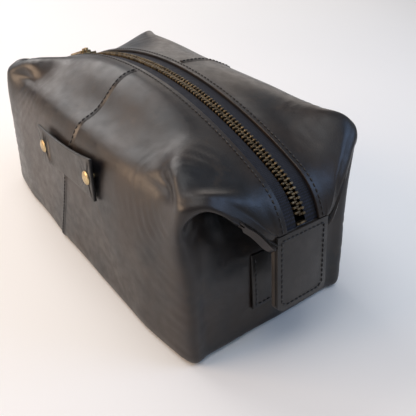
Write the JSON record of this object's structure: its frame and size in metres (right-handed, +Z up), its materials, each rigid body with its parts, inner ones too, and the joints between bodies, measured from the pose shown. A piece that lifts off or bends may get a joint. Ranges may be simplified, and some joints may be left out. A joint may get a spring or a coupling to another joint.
{
  "type": "shaving kit bag",
  "caption": "Boxy soft leather wash bag with a metal zipper along its arched crown, folded-in ends under hanging leather end tabs, and a riveted label.",
  "frame": {"origin": "centre of the base, on the surface the bag stands on", "axes": "+X along the bag to the end with the zipper's bottom stop, +Y away from the long wall with the label, +Z up"},
  "size_m": [0.2984, 0.145, 0.128],
  "materials": {
    "body_leather": "waxed black full-grain leather, semi-gloss, softly creased",
    "trim_leather": "black full-grain leather with raw black-painted edges",
    "lining_cloth": "black cotton twill",
    "zipper_tape": "ribbed woven tape, blue-black",
    "zipper_metal": "antique brass, worn bright on the crests",
    "slider_metal": "antique brass",
    "rivet_metal": "polished antique brass"
  },
  "bodies": {
    "root": {"body_leather_left": "body_leather", "body_leather_right": "body_leather", "body_lining_left": "lining_cloth", "body_lining_right": "lining_cloth", "nose_roof_left": "body_leather", "nose_roof_right": "body_leather", "pleat_leaf_left": "body_leather", "pleat_leaf_right": "body_leather", "end_patch_left": "trim_leather", "end_patch_right": "trim_leather", "zipper_top_stops": "zipper_metal", "zipper_bottom_stop": "zipper_metal", "label": "trim_leather", "label_rivet_posts": "rivet_metal", "label_rivet_caps": "rivet_metal", "label_rivet_washers": "rivet_metal"},
    "front_flap": {"front_flap_left": "body_leather", "front_flap_right": "body_leather", "front_flap_lining_left": "lining_cloth", "front_flap_lining_right": "lining_cloth", "zipper_tape_front": "zipper_tape", "zipper_teeth_front": "zipper_metal"},
    "back_flap": {"back_flap_left": "body_leather", "back_flap_right": "body_leather", "back_flap_lining_left": "lining_cloth", "back_flap_lining_right": "lining_cloth", "zipper_tape_back": "zipper_tape", "zipper_teeth_back": "zipper_metal"},
    "left_tab": {"end_tab_outer_left": "trim_leather", "end_tab_inner_left": "trim_leather"},
    "right_tab": {"end_tab_outer_right": "trim_leather", "end_tab_inner_right": "trim_leather"},
    "slider": {"slider_body": "slider_metal", "slider_bail": "slider_metal"},
    "pull": {"slider_pull": "slider_metal"}
  },
  "joints": [
    {"name": "slider_travel", "type": "hinge", "parent": "root", "child": "slider", "pos_m": [0, 0, -0.17689], "axis": [0, 1, 0], "range_deg": [0, 43.49]},
    {"name": "pull_swing", "type": "hinge", "parent": "slider", "child": "pull", "pos_m": [-0.11385, 0, 0.10853], "axis": [0, 1, 0], "range_deg": [0, 175]},
    {"name": "front_flap_open", "type": "hinge", "parent": "root", "child": "front_flap", "pos_m": [0, -0.0525, 0.104], "axis": [1, 0, 0], "range_deg": [0, 43.49], "deforming": ["zipper_tape_front", "zipper_teeth_front"]},
    {"name": "back_flap_open", "type": "hinge", "parent": "root", "child": "back_flap", "pos_m": [0, 0.0525, 0.117], "axis": [-1, 0, 0], "range_deg": [0, 43.49], "deforming": ["zipper_tape_back", "zipper_teeth_back"]},
    {"name": "left_tab_lift", "type": "hinge", "parent": "root", "child": "left_tab", "pos_m": [-0.14015, 0, 0.08179], "axis": [0, 1, 0], "range_deg": [-5, 85], "stiffness_Nm_per_rad": 0.02},
    {"name": "right_tab_lift", "type": "hinge", "parent": "root", "child": "right_tab", "pos_m": [0.14015, 0, 0.08179], "axis": [0, -1, 0], "range_deg": [-5, 85], "stiffness_Nm_per_rad": 0.02}
  ],
  "couplings": [
    {"joint": "front_flap_open", "follows": "slider_travel", "ratio": 1},
    {"joint": "back_flap_open", "follows": "slider_travel", "ratio": 1}
  ]
}
